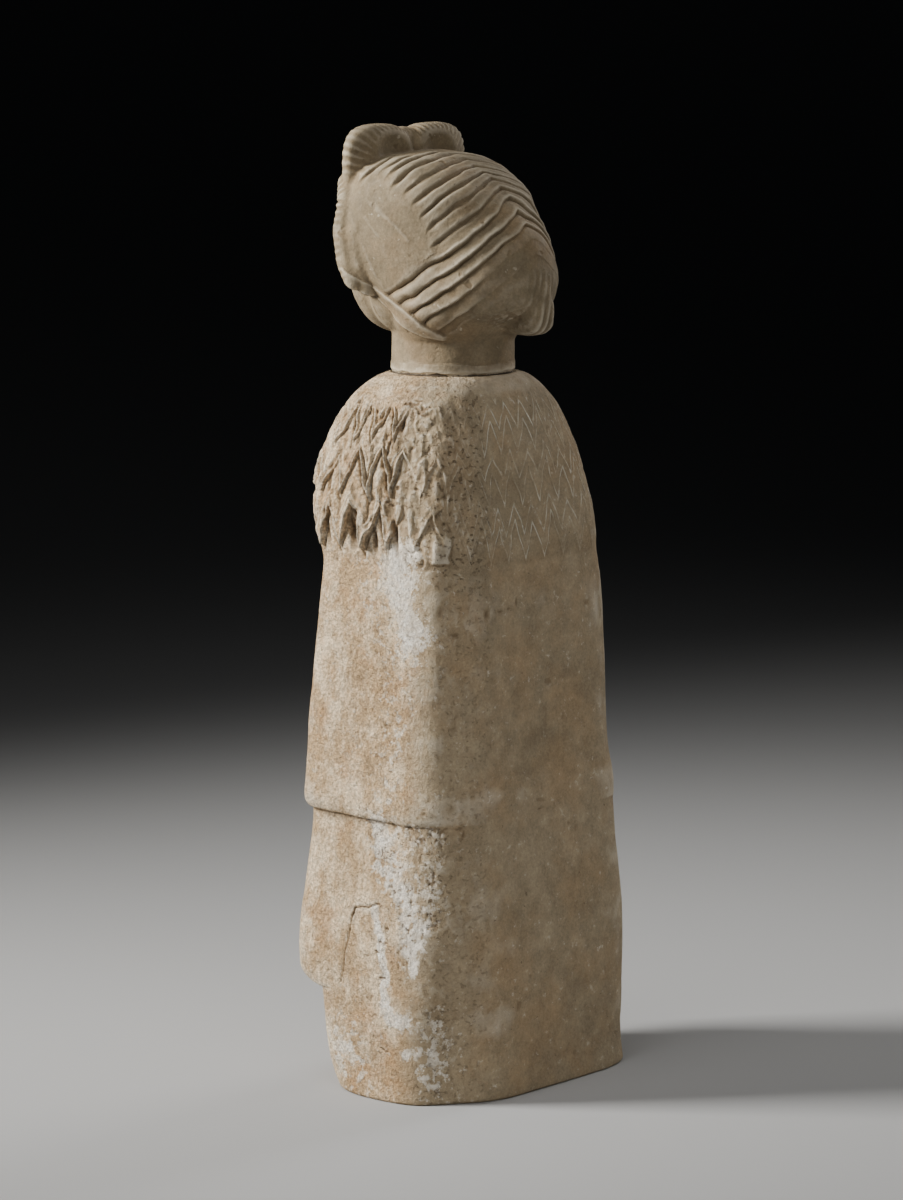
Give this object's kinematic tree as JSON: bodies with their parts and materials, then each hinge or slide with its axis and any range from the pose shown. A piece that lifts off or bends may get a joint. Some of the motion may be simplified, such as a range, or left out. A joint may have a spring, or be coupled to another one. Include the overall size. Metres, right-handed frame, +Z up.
{
  "type": "praying woman statue",
  "caption": "Standing stone figure of a praying woman in a tufted cape and long over-robe, with drawn-back folded hair and a separate head set on at the neck.",
  "frame": {"origin": "on the underside, below the middle of the neck's joint with the robe, where the body's upright axis meets the floor", "axes": "+Z up along the figure; the figure faces -Y and its left side is +X"},
  "size_m": [0.171, 0.1316, 0.5015],
  "materials": {
    "limestone": "matt, weathered and pitted, with chalky deposits",
    "smooth_limestone": "matt, rubbed smooth"
  },
  "bodies": {
    "root": {"body": "limestone", "head": "smooth_limestone"}
  },
  "joints": []
}
